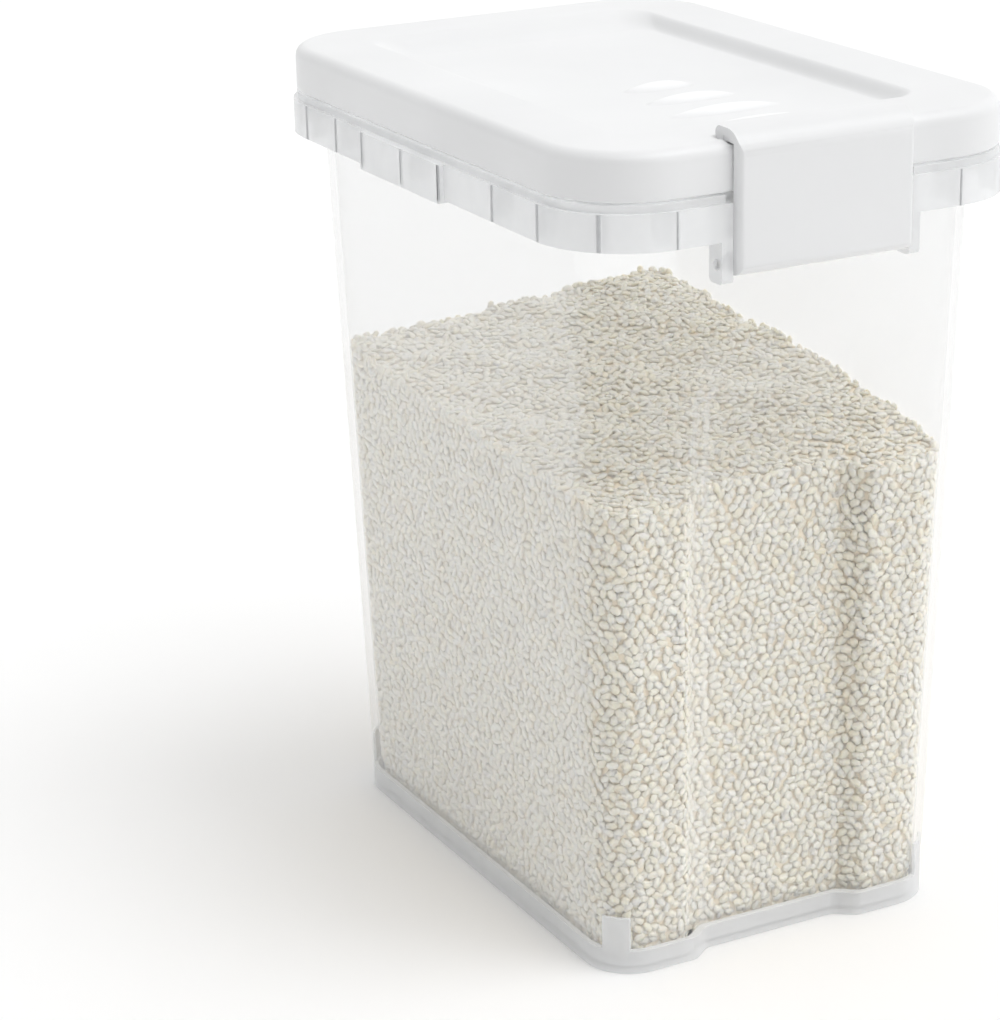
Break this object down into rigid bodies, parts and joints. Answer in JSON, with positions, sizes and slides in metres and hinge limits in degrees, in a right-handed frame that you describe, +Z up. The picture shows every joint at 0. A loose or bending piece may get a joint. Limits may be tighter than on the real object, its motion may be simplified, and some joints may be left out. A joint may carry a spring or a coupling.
{
  "type": "rice bin with flip lid",
  "caption": "Tall clear bin for dry rice with a frosted base tray and rim collar, and a white flip lid hinged at the back and held by a swing latch at the front.",
  "frame": {"origin": "middle of the underside of the base tray, on the surface that the bin stands on", "axes": "+Z up; the latch faces -Y and the lid's hinges are at +Y; +X is to the right of someone who faces the latch"},
  "size_m": [0.1928, 0.28, 0.324],
  "materials": {
    "clear_wall": "clear, glossy",
    "frosted_plastic": "frosted, slightly see-through",
    "white_plastic": "white, satin",
    "pin_plastic": "white, plain",
    "silicone": "pale, matt"
  },
  "bodies": {
    "bin": {"base_tray": "frosted_plastic", "container": "clear_wall", "rim_collar": "frosted_plastic", "hinge_pin_left": "pin_plastic", "hinge_pin_right": "pin_plastic", "latch_pin_left": "pin_plastic", "latch_pin_right": "pin_plastic"},
    "lid": {"lid_shell": "white_plastic", "lid_liner": "white_plastic", "lid_gasket": "silicone"},
    "latch": {"latch": "white_plastic"}
  },
  "joints": [
    {"name": "lid_hinge", "type": "hinge", "parent": "bin", "child": "lid", "pos_m": [0, 0.1383, 0.30135], "axis": [-1, 0, 0], "range_deg": [0, 105]},
    {"name": "latch_hinge", "type": "hinge", "parent": "bin", "child": "latch", "pos_m": [0, -0.1295, 0.277], "axis": [1, 0, 0], "range_deg": [0, 175]}
  ]
}
